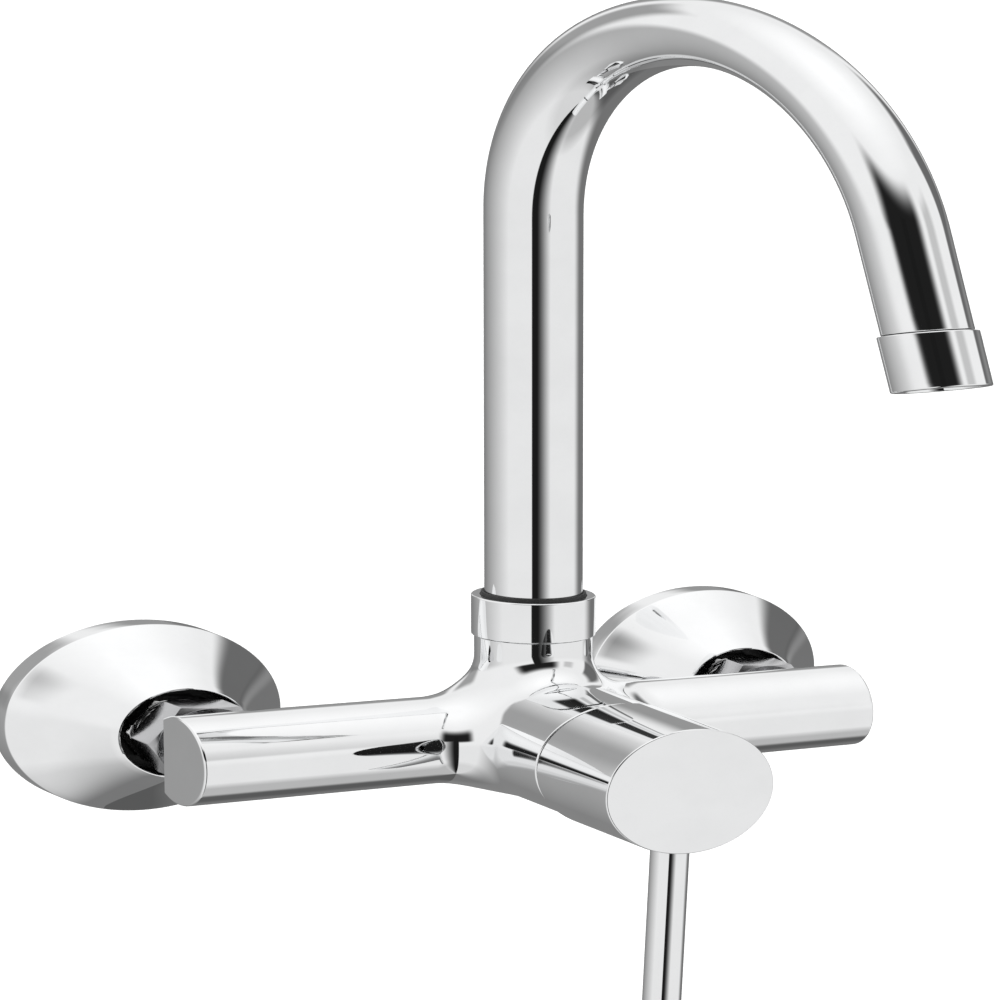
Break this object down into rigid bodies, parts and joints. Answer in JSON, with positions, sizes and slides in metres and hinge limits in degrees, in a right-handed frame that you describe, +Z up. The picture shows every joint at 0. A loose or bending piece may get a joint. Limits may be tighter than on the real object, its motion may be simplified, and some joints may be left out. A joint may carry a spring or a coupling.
{
  "type": "wall mounted single lever sink mixer",
  "caption": "Wall-mounted sink mixer: horizontal bar on two union inlets, swivelling gooseneck spout with aerator, and a round knob with a pin lever that lifts for flow and turns to mix.",
  "frame": {"origin": "midpoint between the two inlet axes, on the finished wall plane", "axes": "+X to the right along the wall, +Y into the wall, +Z up; the mixer stands in front of the wall, towards -Y"},
  "size_m": [0.2168, 0.2554, 0.3618],
  "materials": {
    "polished_chrome": "bright polished chrome plate on brass",
    "brass": "machined brass, satin",
    "black_rubber": "black EPDM/NBR rubber",
    "stainless_steel": "stainless steel",
    "cartridge_plastic": "grey-white glass-filled plastic",
    "alumina_ceramic": "lapped alumina ceramic",
    "white_acetal": "white acetal / PTFE"
  },
  "bodies": {
    "mixer": {"mixer_body": "polished_chrome", "left_connecting_leg": "polished_chrome", "right_connecting_leg": "polished_chrome", "left_wall_flange": "polished_chrome", "right_wall_flange": "polished_chrome", "left_union_nut": "polished_chrome", "right_union_nut": "polished_chrome", "left_inlet_tail": "polished_chrome", "right_inlet_tail": "polished_chrome", "left_union_washer": "black_rubber", "right_union_washer": "black_rubber", "left_inlet_strainer": "stainless_steel", "right_inlet_strainer": "stainless_steel", "cartridge_port_seals": "black_rubber", "cartridge_base": "cartridge_plastic", "fixed_ceramic_disc": "alumina_ceramic", "cartridge_housing": "cartridge_plastic", "cartridge_retaining_nut": "brass", "cartridge_dome_ring": "polished_chrome", "swivel_collar_nut": "polished_chrome", "collar_wiper_ring": "black_rubber", "slide_ring": "white_acetal"},
    "spout": {"spout_tail": "brass", "spout_o_rings": "black_rubber", "spout_tube": "polished_chrome", "spout_nozzle": "polished_chrome", "aerator_shell": "polished_chrome", "aerator_washer": "black_rubber", "aerator_insert": "white_acetal", "aerator_screen": "stainless_steel"},
    "turner": {"turning_carrier": "cartridge_plastic", "pivot_pin": "stainless_steel"},
    "disc": {"moving_ceramic_disc": "alumina_ceramic", "disc_driver": "white_acetal"},
    "handle": {"lever_spindle": "brass", "handle_knob": "polished_chrome", "handle_grub_screw": "stainless_steel", "lever_pin": "polished_chrome"}
  },
  "joints": [
    {"name": "spout_swivel", "type": "hinge", "parent": "mixer", "child": "spout", "pos_m": [0, -0.062, 0], "axis": [0, 0, 1], "range_deg": [-109, 90]},
    {"name": "handle_turn", "type": "hinge", "parent": "mixer", "child": "turner", "pos_m": [0, -0.062, 0], "axis": [0, 1, 0], "range_deg": [-47, 43]},
    {"name": "handle_lift", "type": "hinge", "parent": "turner", "child": "handle", "pos_m": [0, -0.098, 0], "axis": [-0.9994, 0, 0.0349], "range_deg": [0, 25]},
    {"name": "disc_slide", "type": "slide", "parent": "turner", "child": "disc", "axis": [-0.0349, 0, -0.9994], "range_m": [0, 0.00428]}
  ],
  "couplings": [
    {"joint": "disc_slide", "follows": "handle_lift", "m_per_rad": 0.00979}
  ]
}
